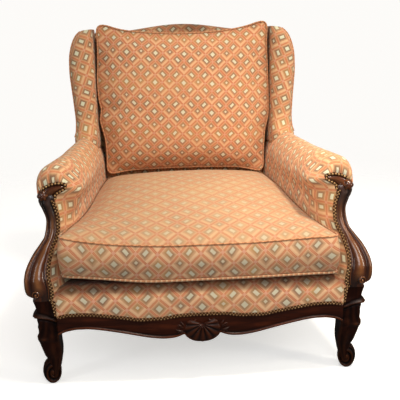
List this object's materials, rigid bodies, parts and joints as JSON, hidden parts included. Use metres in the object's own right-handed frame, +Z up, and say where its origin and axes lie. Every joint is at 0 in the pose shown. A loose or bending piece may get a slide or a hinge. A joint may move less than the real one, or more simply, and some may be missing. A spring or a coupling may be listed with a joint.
{
  "type": "bergere chair",
  "caption": "Wing-back bergere armchair with carved dark show-wood front, scroll feet, sprung seat, nailed diamond-lattice upholstery and loose seat and back cushions.",
  "frame": {"origin": "on the floor under the middle of the chair's bounding box", "axes": "+Z up, the sitter faces -Y, +X to the right seen from the front"},
  "size_m": [0.8956, 0.8, 0.96],
  "materials": {
    "show_wood": "dark polished mahogany stain, satin gloss",
    "frame_wood": "raw beech",
    "upholstery_fabric": "woven diamond lattice in terracotta, peach, taupe and ivory",
    "welt_cord": "striped piping",
    "deck_cloth": "plain tan deck cloth",
    "hessian": "coarse jute weave",
    "webbing": "jute webbing with dark edge stripes",
    "bottoming": "black bottoming cloth",
    "spring_steel": "coppered dull steel wire",
    "nail_brass": "antique aged brass domed nails"
  },
  "bodies": {
    "frame": {"front_rail": "show_wood", "back_seat_rail": "frame_wood", "crest_rail": "frame_wood", "back_tack_rail": "frame_wood", "seat_webbing": "webbing", "spring_hessian": "hessian", "seat_deck": "deck_cloth", "front_border": "upholstery_fabric", "back_webbing": "webbing", "inside_back": "upholstery_fabric", "outside_back": "upholstery_fabric", "bottoming_cloth": "bottoming", "nail_trim_front": "nail_brass", "front_leg_left": "show_wood", "front_leg_right": "show_wood", "arm_stump_left": "show_wood", "arm_stump_right": "show_wood", "side_rail_left": "show_wood", "side_rail_right": "show_wood", "rear_post_left": "show_wood", "rear_post_right": "show_wood", "corner_block_front_left": "frame_wood", "corner_block_front_right": "frame_wood", "corner_block_rear_left": "frame_wood", "corner_block_rear_right": "frame_wood", "arm_rail_left": "frame_wood", "arm_rail_right": "frame_wood", "arm_tack_rail_left": "frame_wood", "arm_tack_rail_right": "frame_wood", "wing_post_left": "frame_wood", "wing_post_right": "frame_wood", "wing_top_rail_left": "frame_wood", "wing_top_rail_right": "frame_wood", "inside_arm_left": "upholstery_fabric", "inside_arm_right": "upholstery_fabric", "outside_arm_left": "upholstery_fabric", "outside_arm_right": "upholstery_fabric", "wing_pad_left": "upholstery_fabric", "wing_pad_right": "upholstery_fabric", "outside_wing_left": "upholstery_fabric", "outside_wing_right": "upholstery_fabric", "nail_trim_left": "nail_brass", "nail_trim_right": "nail_brass", "seat_spring_1": "spring_steel", "seat_spring_2": "spring_steel", "seat_spring_3": "spring_steel", "seat_spring_4": "spring_steel", "seat_spring_5": "spring_steel", "seat_spring_6": "spring_steel", "seat_spring_7": "spring_steel", "seat_spring_8": "spring_steel", "seat_spring_9": "spring_steel"},
    "seat_cushion": {"seat_cushion": "upholstery_fabric", "seat_cushion_welt_top": "welt_cord", "seat_cushion_welt_bottom": "welt_cord"},
    "back_cushion": {"back_cushion": "upholstery_fabric", "back_cushion_welt": "welt_cord"}
  },
  "joints": [
    {"name": "seat_cushion_pull", "type": "slide", "parent": "frame", "child": "seat_cushion", "axis": [0, -1, 0], "range_m": [0, 0.6]},
    {"name": "back_cushion_lift", "type": "slide", "parent": "frame", "child": "back_cushion", "axis": [0, 0.0885, 0.9961], "range_m": [0, 0.5]}
  ]
}
